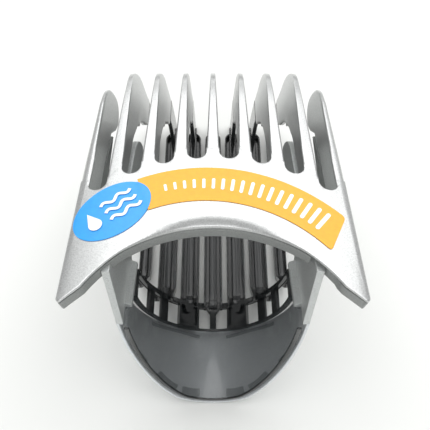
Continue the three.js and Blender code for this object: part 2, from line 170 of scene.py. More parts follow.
# %% Silver paints
def silver_paint(name, colour, roughness, metallic):
    material, shader, place = new_material(name, Metallic=metallic, Coat_Weight=0.2, Coat_Roughness=0.2)
    grain = place.node("ShaderNodeTexNoise", None, {"Vector": place, "Scale": 4200.0, "Detail": 2.0})
    cloud = place.node("ShaderNodeTexNoise", None, {"Vector": place, "Scale": 60.0, "Detail": 3.0})
    shade = grain.node("ShaderNodeValToRGB", {"stops": [
        (0.3, tuple(c * 0.82 for c in colour)), (0.5, colour), (0.7, tuple(min(1, c * 1.12) for c in colour)),
    ]}, {"Fac": grain})
    feed(shader, "Base Color", shade)
    feed(shader, "Roughness", roughness - 0.04 + cloud * 0.08)
    bump = grain.node("ShaderNodeBump", None, {"Height": grain, "Distance": 0.000008, "Strength": 0.3})
    feed(shader, "Normal", bump)
    return material


face_silver = silver_paint("face_silver", (0.56, 0.57, 0.567), 0.33, 0.85)
frame_silver = silver_paint("frame_silver", (0.27, 0.28, 0.275), 0.42, 0.5)
wall_silver = silver_paint("wall_silver", (0.56, 0.58, 0.575), 0.4, 0.55)
shell_silver = silver_paint("shell_silver", (0.74, 0.77, 0.79), 0.48, 0.35)
print("silver paints:", face_silver.name, frame_silver.name, wall_silver.name, shell_silver.name)

# %% [markdown]
# The scoop and the ribs are one smoke-tinted clear moulding. Where it is thin, over the silver shell, the
# silver shows through. Where it is folded into ribs, light crosses several walls and little comes back, and
# the ribs lie in shade under the face. So the same tint is used at two strengths, under a sharp clear coat
# that
# is weaker on the ribs: the much darker copy on the ribs is painted shade.


# %% Smoke plastic
def smoke_plastic(name, dark, pale, cover, coat):
    gloss = {"Roughness": 0.16, "IOR": 1.5, "Coat_Weight": coat, "Coat_Roughness": 0.05}
    material, shader, place = new_material(name, **gloss)
    cloud = place.node("ShaderNodeTexNoise", None, {"Vector": place, "Scale": 90.0, "Detail": 2.0})
    tint = cloud.node("ShaderNodeValToRGB", {"stops": [(0.3, dark), (0.7, pale)]}, {"Fac": cloud})
    feed(shader, "Base Color", tint)
    feed(shader, "Alpha", cover - 0.04 + cloud * 0.08)
    return material


smoke_scoop = smoke_plastic("smoke_scoop", (0.09, 0.1, 0.104), (0.118, 0.13, 0.134), 0.29, 0.7)
# The rib copy is the same tint darkened: painted shade, used on the ribs, the window ring and the rim bead.
smoke_ribs = smoke_plastic("smoke_ribs", (0.01, 0.012, 0.013), (0.02, 0.022, 0.023), 0.9, 0.2)
print("clear mouldings:", smoke_scoop.name, smoke_ribs.name)


# %% [markdown]
# The stickers are printed film: an even ink under a thin satin laminate. Faint mottling of the ink and a
# little orange-peel in the laminate are what tell film from bare paint.


# %% Sticker films
def film(name, colour, roughness=0.36):
    material, shader, place = new_material(name, Roughness=roughness, Coat_Weight=0.2, Coat_Roughness=0.25)
    mottle = place.node("ShaderNodeTexNoise", None, {"Vector": place, "Scale": 1100.0, "Detail": 2.0})
    ink = mottle.node("ShaderNodeValToRGB", {"stops": [
        (0.3, tuple(c * 0.95 for c in colour)), (0.7, tuple(min(1, c * 1.04) for c in colour)),
    ]}, {"Fac": mottle})
    feed(shader, "Base Color", ink)
    bump = mottle.node("ShaderNodeBump", None, {"Height": mottle, "Distance": 0.00001, "Strength": 0.3})
    feed(shader, "Normal", bump)
    return material


orange_film = film("orange_film", (0.93, 0.43, 0.012))
blue_film = film("blue_film", (0.025, 0.36, 0.92))
white_print = film("white_print", (0.93, 0.93, 0.92))
bond_grey = film("bond_grey", (0.3, 0.32, 0.33))
print("films:", orange_film.name, blue_film.name, white_print.name, bond_grey.name)


# %% [markdown]
# Most of this comb is rounded slab: a flat outline with a thickness and soft edges, then bent to its place.
# So one helper makes a slab in flat space from a closed outline, and a second function says where each
# point of it goes. The slab is cut into strips first, so that there is something to bend.


# %% Rounded slab helper
def inset(outline, distance):
    """The outline moved inwards by a distance, with its corners mitred."""
    moved = []
    count = len(outline)
    for i, point in enumerate(outline):
        before = (point - outline[i - 1]).normalized()
        after = (outline[(i + 1) % count] - point).normalized()
        normal = Vector((-before.y - after.y, before.x + after.x))
        if normal.length < 1e-6:
            normal = Vector((-after.y, after.x))
        normal.normalize()
        reach = max(normal.dot(Vector((-before.y, before.x))), 0.5)
        moved.append(point + normal * (distance / reach))
    return moved


def without_doubles(outline, least=1e-3):
    """The outline without points that repeat the one before."""
    points = [Vector(p) for p in outline]
    return [p for i, p in enumerate(points) if (p - points[i - 1]).length > least]


def cut_across(bm, step, axis, low=None, high=None):
    """Cuts every face along lines one step apart, square to one axis of the flat slab."""
    places = [v.co[axis] for v in bm.verts]
    low = min(places) if low is None else low
    high = max(places) if high is None else high
    normal = Vector((axis == 0, axis == 1, 0))
    for i in range(1, math.ceil((high - low) / step)):
        geometry = bm.verts[:] + bm.edges[:] + bm.faces[:]
        where = normal * (low + i * step)
        bmesh.ops.bisect_plane(bm, geom=geometry, plane_co=where, plane_no=normal, dist=1e-5)


def rounded_slab(outline, thickness, radius, place, step=None, rounds=3, cross=None):
    """A bmesh of a slab: outline in (u, v), from w = 0 down to the thickness, moved by place(u, v, w)."""
    outline = without_doubles(outline)
    levels = []
    for k in range(rounds + 1):
        turn = math.radians(90) * k / rounds
        levels.append((radius * (1 - math.sin(turn)), radius * (1 - math.cos(turn))))
    levels += [(d, thickness - w) for d, w in reversed(levels)]
    bm = bmesh.new()
    rings = [[bm.verts.new((p.x, p.y, -w)) for p in inset(outline, d)] for d, w in levels]
    count = len(outline)
    for upper, lower in zip(rings, rings[1:]):
        for i in range(count):
            j = (i + 1) % count
            bm.faces.new((upper[j], upper[i], lower[i], lower[j]))
    caps = [bm.faces.new(rings[0]), bm.faces.new(rings[-1][::-1])]
    bm.normal_update()
    bmesh.ops.triangulate(bm, faces=caps, ngon_method="EAR_CLIP")
    if step:
        cut_across(bm, step, 0)
    if cross:
        cut_across(bm, cross[0], 1, cross[1], cross[2])
    for vert in bm.verts:
        vert.co = place(vert.co.x, vert.co.y, -vert.co.z)
    bmesh.ops.recalc_face_normals(bm, faces=bm.faces)
    return bm


def one_mesh(name, parts):
    """One mesh that holds all the given bmeshes."""
    whole = bmesh.new()
    for part in parts:
        mesh = bpy.data.meshes.new("part")
        part.to_mesh(mesh)
        part.free()
        whole.from_mesh(mesh)
        bpy.data.meshes.remove(mesh)
    mesh = bpy.data.meshes.new(name)
    whole.to_mesh(mesh)
    whole.free()
    return mesh


def finish_piece(name, parts, material, nodes=(), sharp=35):
    """Makes one object with soft shading from bmeshes or a mesh, and gives it finish, slot and body."""
    mesh = one_mesh(name, parts) if isinstance(parts, list) else parts
    mesh.materials.clear()
    mesh.materials.append(material)
    mesh.polygons.foreach_set("use_smooth", [True] * len(mesh.polygons))
    mesh.set_sharp_from_angle(angle=math.radians(sharp))
    piece = bpy.data.objects.new(name, mesh)
    bpy.context.scene.collection.objects.link(piece)
    weighted = piece.modifiers.new("even shading", "WEIGHTED_NORMAL")
    weighted.keep_sharp = True
    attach(piece, "root")
    if nodes:
        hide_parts(*nodes)
    print(name, "has", len(mesh.polygons), "faces")
    return piece


print("slab helper ready")

# %% [markdown]
# The face is crowned across and falls towards the teeth. A few short formulas hold its whole shape, and
# every piece that lies on it or under it uses them. Just before the arched neck edge it rolls over a little,
# and so it does along its two long edges.

# %% The crowned face as formulas
CROWN_RADIUS = 105
EDGE_ROLL, EDGE_ROLL_FROM = 0.16, 24.0
FACE_EDGE_S, FACE_EDGE_HEIGHT, FACE_FALL = -2, 53, 0.153
TOOTH_PITCH, TOOTH_ROOT_WIDTH, TOOTH_TIP_WIDTH, TOOTH_TIP_S = 6.2, 2.6, 1.15, 39.5
OUTERMOST_FULL_TOOTH = 3 * TOOTH_PITCH
TIP_SPREAD, TIP_SHIFT_S, TIP_SHIFT_HEIGHT = 1.5, (22, 38), (21.2, 38)
SLOT_ARC_S, SLOT_ARC_RADIUS = 13.4, 40
NECK_ARC_RADIUS, NECK_ARC_HALF_WIDTH = 26, 21.3
WING_TIP_S, WING_CORNER = -15.6, 0.9
SKIN = 0.7
ROLL_WIDTH, ROLL_DEPTH, ROLL_REACH = 3.0, 1.4, 15.5


def sag(radius, x):
    """How far an arc of that radius falls below its top at x."""
    return radius - math.sqrt(radius * radius - x * x)


def crown_drop(x):
    """How far the crowned face lies below its middle. Its two long edges roll down a little more."""
    return sag(CROWN_RADIUS, x) + EDGE_ROLL * max(abs(x) - EDGE_ROLL_FROM, 0) ** 2


def face_height(s):
    return FACE_EDGE_HEIGHT - FACE_FALL * (s - FACE_EDGE_S)


def slot_bottom(x):
    return SLOT_ARC_S - sag(SLOT_ARC_RADIUS, x)


def neck_roll(x, s):
    """How far the face rolls over near the neck edge, deepest in the middle."""
    if abs(x) >= ROLL_REACH:
        return 0
    back = s - (FACE_EDGE_S - sag(NECK_ARC_RADIUS, x))
    lip = min(max(1 - back / ROLL_WIDTH, 0), 1)
    return ROLL_DEPTH * lip * lip * (1 - (x / ROLL_REACH) ** 2)


def on_face(x, s, depth):
    """A point at some depth below the crowned face."""
    return row(x, s, face_height(s) - crown_drop(x) - neck_roll(x, s) - depth)


def smooth(value, low, high):
    """Rises softly from 0 to 1 between two values."""
    share = min(max((value - low) / (high - low), 0), 1)
    return share * share * (3 - 2 * share)


def tip_shift(x, s, h):
    """How much further out a full tooth's tip lies towards the sides. Roots and feet stay in line."""
    if abs(x) > OUTERMOST_FULL_TOOTH + 1:
        return 0
    reach = TIP_SPREAD * (x / OUTERMOST_FULL_TOOTH) ** 2
    return reach * smooth(s, *TIP_SHIFT_S) * smooth(h, *TIP_SHIFT_HEIGHT)


def beside(x, taper=None):
    """Places a side outline (s, h) in the plane of one tooth, squeezed down under the crown."""

    def place(s, h, w):
        across = x + w * (taper(s) if taper else 1)
        further = s + tip_shift(x, s, h)
        return row(across, further, h * (1 - crown_drop(across) / face_height(further)))

    return place


def arc(cx, cy, radius, start, end, steps):
    """Points on an arc between two angles in degrees."""
    turns = [math.radians(start + (end - start) * i / steps) for i in range(steps + 1)]
    return [Vector((cx + radius * math.cos(t), cy + radius * math.sin(t))) for t in turns]


print("face drops", round(crown_drop(FACE_HALF_WIDTH), 2), "mm at its sides")

# %% [markdown]
# A curve through a few points keeps an outline smooth without a long list of numbers. Catmull-Rom is the
# simplest such curve: each span leans on the points before and after it.


# %% Smooth outlines
def curve_through(points, steps=8):
    """Points of a smooth curve through the given ones."""
    points = [Vector(p) for p in points]
    ends = [2 * points[0] - points[1], *points, 2 * points[-1] - points[-2]]
    path = []
    for a, b, c, d in zip(ends, ends[1:], ends[2:], ends[3:]):
        for i in range(steps):
            t = i / steps
            path.append(0.5 * (2 * b + (c - a) * t + (2 * a - 5 * b + 4 * c - d) * t**2
                               + (3 * b - 3 * c + d - a) * t**3))
    return path + [points[-1]]


def bezier(start, control, end, steps=16):
    """Points of a quadratic curve."""
    a, b, c = Vector(start), Vector(control), Vector(end)
    turns = [i / steps for i in range(steps + 1)]
    return [a * (1 - t) ** 2 + b * 2 * t * (1 - t) + c * t * t for t in turns]


def tooth_taper(s):
    along = min(max((s - SLOT_ARC_S) / (TOOTH_TIP_S - SLOT_ARC_S), 0), 1)
    return 1 + (TOOTH_TIP_WIDTH / TOOTH_ROOT_WIDTH - 1) * along


print("a tooth tapers to", round(tooth_taper(TOOTH_TIP_S), 2), "of its root width")

# %% [markdown]
# The silver face is one moulding: a thin crowned skin and nine deep teeth. The skin's outline runs along the
# arched neck edge, round the wing tips, up the sides and in and out of the round slot bottoms.

# %% Face skin
SLOT_RADIUS = (TOOTH_PITCH - TOOTH_ROOT_WIDTH) / 2
NECK_ANGLE = math.degrees(math.acos(NECK_ARC_HALF_WIDTH / NECK_ARC_RADIUS))
ROLL_CUTS = (0.45, -8, 1.2)


def near_edge():
    """The near edge of the face from its left wing tip, along the neck arch, to its right wing tip."""
    half = FACE_HALF_WIDTH
    points = arc(WING_CORNER - half, WING_TIP_S + WING_CORNER, WING_CORNER, 180, 260, 5)
    points += arc(0, FACE_EDGE_S - NECK_ARC_RADIUS, NECK_ARC_RADIUS, 180 - NECK_ANGLE, NECK_ANGLE, 48)
    return points + arc(half - WING_CORNER, WING_TIP_S + WING_CORNER, WING_CORNER, -80, 0, 5)


def face_outline():
    """The plan of the skin, anticlockwise."""
    half = FACE_HALF_WIDTH
    points = near_edge()
    for i in range(3, -5, -1):
        middle = (i + 0.5) * TOOTH_PITCH
        centre = slot_bottom(middle) + SLOT_RADIUS
        if i == 3:
            points.append(Vector((half, centre + 1)))
        points.append(Vector((middle + SLOT_RADIUS, centre + 1)))
        points += arc(middle, centre, SLOT_RADIUS, 0, -180, 14)
        points.append(Vector((middle - SLOT_RADIUS, centre + 1)))
    points.append(Vector((-half, centre + 1)))
    return points


skin = rounded_slab(face_outline(), SKIN, 0.22, on_face, step=0.9, cross=ROLL_CUTS)
print("skin has", len(skin.faces), "faces")

# %% [markdown]
# Each tooth is a slab stood on edge. Its side outline is flat on top, rounds the nose and comes back along a
# hollow inner edge with two small barbs, and the slab thins towards the tip.


# %% Teeth
TOOTH_ROUND = 0.45
OUTER_TOOTH_ROUND = 0.6
OUTER_TOOTH_WIDTH = 1.9
OUTER_TOOTH_INSET = 0.05
OUTER_FOOT = [(10.8, 43.1), (22, 40.3), (31, 37.6)]
TOOTH_TOP_STEPS = (32, 29, 26, 23, 20, 17)
NOSE = [(35, 47.1), (39.2, 45.9), (42.6, 43), (46.5, 37.7), (51, 28.9), (55.2, 20.9)]


def tooth_outline(root):
    """The side outline of a full tooth from its root, anticlockwise as seen from its right."""
    hollow = curve_through([(root + 3, 48.2), (root + 8, 45), (25, 41), (30, 37.8), (34.2, 34.6)], 6)
    inner = curve_through([(37, 32.2), (41, 27.8), (44, 23.6), (46.4, 20.7)], 6)
    nose = curve_through(NOSE, 8)[::-1]
    top = [(s, face_height(s)) for s in (*TOOTH_TOP_STEPS, root)]
    return [(root, face_height(root) - SKIN), *hollow, (35.4, 32.6), *inner, *nose, *top]


def outer_tooth_outline(root):
    """The shorter side outline of the two outer teeth."""
    under = [(root, face_height(root) - SKIN), (root + 1, face_height(root + 1) - 3), *OUTER_FOOT]
    nose = [(35, 33.4), (39, 31.2), (42.6, 33), (42.8, 37), (40, 42.8), (36.6, 46.2), (32, 47.9)]
    top = [(s, face_height(s)) for s in (28, 24, 20, 15, root)]
    return [*curve_through(under, 5), *curve_through(nose, 8), *top]


def standing(x, width):
    """Places a slab on edge with its middle at x, thinner towards the tip of the tooth."""
    place = beside(x, tooth_taper)
    return lambda s, h, w: place(s, h, width / 2 - w)


teeth = []
for i in range(-3, 4):
    x = i * TOOTH_PITCH
    outline = tooth_outline(slot_bottom(x) - 3)
    teeth.append(rounded_slab(outline, TOOTH_ROOT_WIDTH, TOOTH_ROUND, standing(x, TOOTH_ROOT_WIDTH)))
for side in (-1, 1):
    x = side * (FACE_HALF_WIDTH - OUTER_TOOTH_INSET - OUTER_TOOTH_WIDTH / 2)
    outline = outer_tooth_outline(slot_bottom(x) - 3)
    teeth.append(rounded_slab(outline, OUTER_TOOTH_WIDTH, OUTER_TOOTH_ROUND, standing(x, OUTER_TOOTH_WIDTH)))
finish_piece("comb_face", [skin, *teeth], face_silver, ["face_comb"])

# %% [markdown]
# Under the face lies the silver frame. Its plate repeats the face's plan on a shorter arc and hangs one gap
# below it, so that a thin dark parting line shows between the two. A small notch is cut near its right end.
# From the plate hang the two side walls, each with a guide rail inside and an arm that backs the next tooth,
# and a web behind each outer tooth.

# %% Frame plate, webs, walls and rails
BOND_GAP = 0.3
PLATE_THICKNESS, PLATE_SET_BACK = 2.8, 4.2
WALL_X, WALL_THICKNESS, WALL_FOOT = 18.6, 1.4, 34.0
WALL_FAR_HEIGHT, ARM_FAR_S, ARM_FOOT = 31.2, 32, 26
WEB_THICKNESS, WEB_FOOT = 1.2, 34
RAIL_WIDTH, RAIL_THICKNESS, RAIL_SLOPE, RAIL_FALL = 1.2, 1.3, 1.2, 0.287
RAIL_NEAR_S, RAIL_NEAR_HEIGHT, RAIL_FAR_S = -10, 33.9, 0.5
SCOOP_FAR_S, RIM_TOP_S = -5.8, -13.9
NOTCH_FROM, NOTCH_TO, NOTCH_DEPTH = 16.4, 20.4, 0.8
UNDER_SKIN = SKIN + BOND_GAP


def rail_height(s):
    return RAIL_NEAR_HEIGHT - RAIL_FALL * (s - RAIL_NEAR_S)


def plate_outline():
    """The plan of the frame plate, with its small notch in the near edge."""
    half, radius = FACE_HALF_WIDTH, SLOT_ARC_RADIUS - PLATE_SET_BACK
    far_angle = math.degrees(math.acos(half / radius))
    edge = near_edge()
    left = [p for p in edge if p.x < NOTCH_FROM]
    right = [p for p in edge if p.x > NOTCH_TO]
    notch = [left[-1] + Vector((0.3, NOTCH_DEPTH)), right[0] + Vector((-0.3, NOTCH_DEPTH))]
    far_edge = arc(0, SLOT_ARC_S - SLOT_ARC_RADIUS, radius, far_angle, 180 - far_angle, 40)
    return [*left, *notch, *right, *far_edge]


def under_face(x, s, w):
    return on_face(x, s, UNDER_SKIN + w)


def wall_outline():
    """Side outline of a wall: near edge, foot along the rail, and an arm behind the next tooth."""
    near_top = FACE_EDGE_S - sag(NECK_ARC_RADIUS, WALL_X) - 0.2
    plate_far = slot_bottom(WALL_X) - PLATE_SET_BACK - 1
    top = [(s, face_height(s) - crown_drop(WALL_X) - UNDER_SKIN - 0.5) for s in (plate_far, near_top)]
    foot = [(s, rail_height(s) - RAIL_THICKNESS) for s in (RAIL_NEAR_S, RAIL_FAR_S)]
    arm = [
        *bezier((RAIL_FAR_S + 4, WALL_FAR_HEIGHT), (16, ARM_FOOT + 1.5), (ARM_FAR_S - 8, ARM_FOOT), 8),
        *bezier((ARM_FAR_S - 8, ARM_FOOT), (ARM_FAR_S, ARM_FOOT - 0.5), (ARM_FAR_S, ARM_FOOT + 3.5), 8),
        *bezier((ARM_FAR_S, ARM_FOOT + 3.5), (ARM_FAR_S - 1, ARM_FOOT + 7.5), (28, 36.2), 8),
        *bezier((25, 38.2), (16, 40.5), (plate_far + 5, 43), 8),
    ]
    return [
        (RIM_TOP_S, WALL_FOOT), (RAIL_NEAR_S, WALL_FOOT), *foot, (RAIL_FAR_S + 1, WALL_FAR_HEIGHT), *arm,
        (plate_far + 0.3, 45.8), *top,
    ]


def web_outline():
    """Side outline of the web behind an outer tooth. Its top runs just under the tooth's lower edge."""
    x = FACE_HALF_WIDTH - OUTER_TOOTH_INSET - OUTER_TOOTH_WIDTH / 2
    top = [(s, h - crown_drop(x) - BOND_GAP) for s, h in OUTER_FOOT]
    near, lap = -6, 0.6

    def plate_foot(s):
        return face_height(s) - crown_drop(x) - UNDER_SKIN - PLATE_THICKNESS

    return [
        *bezier((near, plate_foot(near) - 0.5), (2, WEB_FOOT + 2), (14, WEB_FOOT), 10),
        *bezier((28, WEB_FOOT - 0.5), (32, WEB_FOOT - 0.5), (31.5, top[2][1] - 0.6), 6),
        top[1], top[0], (3, 44.6), (-1.5, plate_foot(-1.5) + lap), (near, plate_foot(near) + lap),
    ]


def web(side):
    outer = FACE_HALF_WIDTH - OUTER_TOOTH_INSET - (OUTER_TOOTH_WIDTH - WEB_THICKNESS) / 2
    return rounded_slab(web_outline(), WEB_THICKNESS, 0.2, lambda s, h, w: row(side * (outer - w), s, h))


def wall(side):
    return rounded_slab(wall_outline(), WALL_THICKNESS, 0.2, lambda s, h, w: row(side * (WALL_X - w), s, h))


def rail(side):
    """A rail with a sloping top. Its section is the outline, and its length is the slab's thickness."""
    wall_x, lap = WALL_X - WALL_THICKNESS, 0.3
    foot, crest = RAIL_NEAR_HEIGHT - RAIL_THICKNESS, RAIL_NEAR_HEIGHT + RAIL_SLOPE
    section = [
        (wall_x - RAIL_WIDTH, foot), (wall_x + lap, foot), (wall_x + lap, crest), (wall_x, crest),
        (wall_x - RAIL_WIDTH, RAIL_NEAR_HEIGHT),
    ]

    def lay(x, h, w):
        return row(side * x, RAIL_NEAR_S + w, h - RAIL_FALL * w)

    return rounded_slab(section, RAIL_FAR_S - RAIL_NEAR_S, 0.15, lay)


plate = rounded_slab(plate_outline(), PLATE_THICKNESS, 0.3, under_face, step=1.5, cross=ROLL_CUTS)
webs = [web(side) for side in (-1, 1)]
finish_piece("frame_plate", [plate, *webs], frame_silver, ["side_frame"])
walls = [make(side) for side in (-1, 1) for make in (wall, rail)]
finish_piece("side_walls", walls, wall_silver)

# %% [markdown]
# The shell and the clear liner are troughs: a half ellipse that turns upright into the walls. To bend a slab
# into a trough, one class measures distance round the section and gives back the place of each point.


# %% Trough section
CURVE_TOP = 29.0


class Trough:
    """A U-shaped section: half an ellipse up to the curve top, and upright above it."""

    def __init__(self, outer_x, bottom, steps=240):
        self.outer_x, self.depth = outer_x, CURVE_TOP - bottom
        self.turns = np.linspace(0, math.pi / 2, steps + 1)
        x, h = outer_x * np.sin(self.turns), -self.depth * np.cos(self.turns)
        self.lengths = np.concatenate([[0], np.cumsum(np.hypot(np.diff(x), np.diff(h)))])

    def at(self, u, depth):
        """Across and up, at a distance u round the section and some depth inside its outer face."""
        turn = np.interp(abs(u), self.lengths, self.turns)
        upright = max(abs(u) - self.lengths[-1], 0)
        x = math.copysign((self.outer_x - depth) * math.sin(turn), u)
        return x, CURVE_TOP - (self.depth - depth) * math.cos(turn) + upright

    def at_height(self, h):
        """The distance round the section at a height."""
        if h >= CURVE_TOP:
            return self.lengths[-1] + h - CURVE_TOP
        return float(np.interp(math.acos((CURVE_TOP - h) / self.depth), self.turns, self.lengths))

    def at_x(self, x):
        """The distance round the section at a place across."""
        return math.copysign(np.interp(math.asin(abs(x) / self.outer_x), self.turns, self.lengths), x)

    def bend(self, start):
        """Places a slab (u, s) that begins some depth inside the outer face."""
        return lambda u, s, w: row(*self.spread(u, s, start + w))

    def spread(self, u, s, depth):
        x, h = self.at(u, depth)
        return x, s, h


SHELL_THICKNESS, LINER_GAP, LINER_THICKNESS = 0.6, 0.55, 0.9
LINER_DEPTH = SHELL_THICKNESS + LINER_GAP
shell_section = Trough(WALL_X, 0)
liner_section = Trough(WALL_X - LINER_DEPTH, LINER_DEPTH)
print("round the shell it is", round(2 * shell_section.lengths[-1], 1), "mm from wall to wall")

# %% [markdown]
# The rim of the scoop is nearly upright at the walls and then sweeps forwards to its foot. Shell and liner
# share that rim, and both step down under the guide rails. The liner's cut edge looks dark, because light is
# caught in it, so a narrow bead of the darker tint runs along it as a painted shade line.

# %% Scoop shell, liner and rim bead
RIM = [(RIM_TOP_S, 34.5), *bezier((-14.8, 26.5), (-16.5, 16.4), (-22.7, 3.2)), (-23.3, 0)]
RIM_S, RIM_HEIGHTS = np.array([tuple(p) for p in RIM])[::-1].T


def rim_at(h):
    return float(np.interp(h, RIM_HEIGHTS, RIM_S))


def rim_line(section, rim_inset, top, steps=72):
    """The rim, laid flat, from wall to wall."""
    rim_end = section.at_height(top)
    across = [rim_end * (2 * i / steps - 1) for i in range(steps + 1)]
    return [(u, rim_at(section.at(u, 0)[1]) + rim_inset) for u in across]


def scoop_outline(section, rim_inset, top):
    """Outline of the scoop, laid flat: rim, step under each rail, and far edge."""
    rim = rim_line(section, rim_inset, top)
    rim_end = rim[-1][0]
    step_s = RAIL_NEAR_S - BOND_GAP
    foot = [rail_height(s) - RAIL_THICKNESS - BOND_GAP for s in (step_s, SCOOP_FAR_S)]
    side = [
        (rim_end, step_s), (section.at_height(foot[0]), step_s), (section.at_height(foot[1]), SCOOP_FAR_S),
    ]
    return [*rim, *side, *[(-u, s) for u, s in side[::-1]]]


shell = rounded_slab(
    scoop_outline(shell_section, 0, WALL_FOOT + 0.2), SHELL_THICKNESS, 0.2, shell_section.bend(0), step=1.2
)
finish_piece("scoop_shell", [shell], shell_silver)
liner_plan = scoop_outline(liner_section, 0.15, WALL_FOOT - BOND_GAP)
liner = rounded_slab(liner_plan, LINER_THICKNESS, 0.28, liner_section.bend(0), step=1.2)
finish_piece("scoop_liner", [liner], smoke_scoop, ["rib_liner"])

# The bead is painted shade: a dark line of the darkened rib tint along the liner's edge.
BEAD_TOP, BEAD_INSET, BEAD_WIDTH, BEAD_PROUD = 31.5, 0.1, 0.5, 0.04
bead_near = rim_line(liner_section, BEAD_INSET, BEAD_TOP)
bead_far = rim_line(liner_section, BEAD_INSET + BEAD_WIDTH, BEAD_TOP)
bead = rounded_slab(
    [*bead_near, *bead_far[::-1]], LINER_THICKNESS + 2 * BEAD_PROUD, 0.12,
    liner_section.bend(-BEAD_PROUD), step=1.2,
)
finish_piece("liner_rim", [bead], smoke_ribs)

# %% [markdown]
# Between the scoop and the ribs is a ring of windows: a raised lip, a few posts and a cross hoop. They are
# flat plates bent round the same section, so each is an outline in distance round the trough and along it.

# %% Window ring
HOOP_NEAR_S, HOOP_FAR_S, HOOP_TOP = -0.5, 1.2, 25.3
STEM_HALF, STEM_FLARE = 0.85, 2.1
BLOCK_INNER, BLOCK_OUTER = 3.9, 9.2
POST_INNER, POST_OUTER = 11.6, 13.2
CORNER_INNER, CORNER_OUTER = 14.6, 15.6


def ring_plate(outline, start=0.0, thickness=LINER_THICKNESS, radius=0.22):
    return rounded_slab(outline, thickness, radius, liner_section.bend(start), step=1.2)


def strip(u0, s0, u1, s1):
    return [(u0, s0), (u1, s0), (u1, s1), (u0, s1)]


def ring_side(side):
    """The posts, the framed block and the corner frame on one side of the middle stem."""
    across = liner_section.at_x

    def mirrored(outline):
        return outline if side > 0 else [(-u, s) for u, s in outline[::-1]]

    low, high = SCOOP_FAR_S - 0.3, HOOP_NEAR_S + 0.3
    inner, outer = across(BLOCK_INNER), across(BLOCK_OUTER)
    middle = (inner + outer) / 2
    top = liner_section.at_height(HOOP_TOP)
    plates = [
        ring_plate(mirrored(strip(inner, low, outer, high)), 0.3, 0.5, 0.15),
        ring_plate(mirrored(strip(across(POST_INNER), low, across(POST_OUTER), high))),
        ring_plate(mirrored(strip(across(CORNER_INNER), low, across(CORNER_OUTER), high))),
        ring_plate(mirrored(strip(top - 1, low, top, HOOP_FAR_S))),
    ]
    ridges = [
        strip(inner, low, inner + 0.6, high), strip(outer - 0.6, low, outer, high),
        strip(inner, low, outer, low + 0.9),
        [(middle + u, high - down) for u, down in ((1.4, 0), (0.7, 1.7), (-0.7, 1.7), (-1.4, 0))],
    ]
    return plates + [ring_plate(mirrored(outline), 0.3, 1.4, 0.2) for outline in ridges]


ring_end = liner_section.at_height(HOOP_TOP)
lip_end = liner_section.at_height(HOOP_TOP + 2.5)
stem = [
    (-STEM_HALF, SCOOP_FAR_S - 0.3), (STEM_HALF, SCOOP_FAR_S - 0.3), (STEM_HALF, -1.9), (STEM_FLARE, -0.3),
    (-STEM_FLARE, -0.3), (-STEM_HALF, -1.9),
]
ring = [
    ring_plate(strip(-ring_end, HOOP_NEAR_S, ring_end, HOOP_FAR_S), 0.1, 0.8),
    ring_plate(strip(-ring_end, HOOP_NEAR_S, ring_end, HOOP_NEAR_S + 0.5), 0.1, 1.5, 0.2),
    ring_plate(strip(-lip_end, SCOOP_FAR_S - 0.5, lip_end, SCOOP_FAR_S), 0.2, 1.3, 0.2),
    ring_plate(stem, 0.1, 1.3),
]
for side in (-1, 1):
    ring += ring_side(side)
finish_piece("window_ring", ring, smoke_ribs)

# %% [markdown]
# Seven ribs run along the floor, one under each tooth. They are the same part seven times, a channel with a
# core and an upright blade at its far end, so Geometry Nodes lays out copies of one pattern at the pitch.

# %% Rib pattern
RIB_HALF, RIB_WALL, RIB_HEIGHT, RIB_FLOOR = 2.4, 0.5, 2.6, 0.9
CORE_HALF, RIB_END_S, CORE_END_S = 1.05, 57.4, 59.5
BLADE_WIDTH, BLADE_TOP = 1.2, 20.2
NOSE_PROFILE = [(NOSE_DEPTH - 0.1, 0), (60.5, 6.5), (58, 13.5), (55.4, BLADE_TOP)]


def rounded_end(half, end, steps=10):
    """The far end of a rib in plan, from its right side round to its left."""
    return [(end - half + half * math.cos(t), half * math.sin(t))
            for t in (math.radians(-90 + 180 * i / steps) for i in range(steps + 1))]


def flat_rib(base):
    """Places a slab (s, x) with its underside at a height, still in millimetres."""
    return lambda s, x, w: Vector((x, s, base - w))


def rib_pattern():
    outer = rounded_end(RIB_HALF, RIB_END_S)
    inner = rounded_end(RIB_HALF - RIB_WALL, RIB_END_S - RIB_WALL)[::-1]
    start = HOOP_NEAR_S
    floor = [(start, -RIB_HALF), *outer, (start, RIB_HALF)]
    wall_plan = [
        (start, -RIB_HALF), *outer, (start, RIB_HALF), (start, RIB_HALF - RIB_WALL), *inner,
        (start, RIB_WALL - RIB_HALF),
    ]
    core = [(start, -CORE_HALF), (CORE_END_S, -CORE_HALF), (CORE_END_S, CORE_HALF), (start, CORE_HALF)]
    inner_edge = bezier((48.2, BLADE_TOP), (53.2, 10), (52, RIB_HEIGHT - 0.6), 10)
    blade = [*inner_edge, (50.5, 0.1), *curve_through(NOSE_PROFILE, 6)]
    return [
        rounded_slab(floor, RIB_FLOOR, 0.25, flat_rib(RIB_FLOOR), step=1.0, rounds=2),
        rounded_slab(wall_plan, RIB_HEIGHT - 0.3, 0.16, flat_rib(RIB_HEIGHT), step=1.0, rounds=2),
        rounded_slab(core, RIB_HEIGHT - 0.3, 0.35, flat_rib(RIB_HEIGHT), step=1.0, rounds=2),
        rounded_slab(blade, BLADE_WIDTH, 0.25, lambda s, h, w: Vector((BLADE_WIDTH / 2 - w, s, h)), rounds=2),
    ]


pattern = bpy.data.objects.new("rib_pattern", one_mesh("rib_pattern", rib_pattern()))
bpy.context.scene.collection.objects.link(pattern)
print("one rib has", len(pattern.data.polygons), "faces")

# %% [markdown]
# A Geometry Nodes tree has named inputs, like a function. The modifier takes their values by identifier, and
# the tree ends in Realize Instances and Set Material, so that its result is an ordinary mesh.


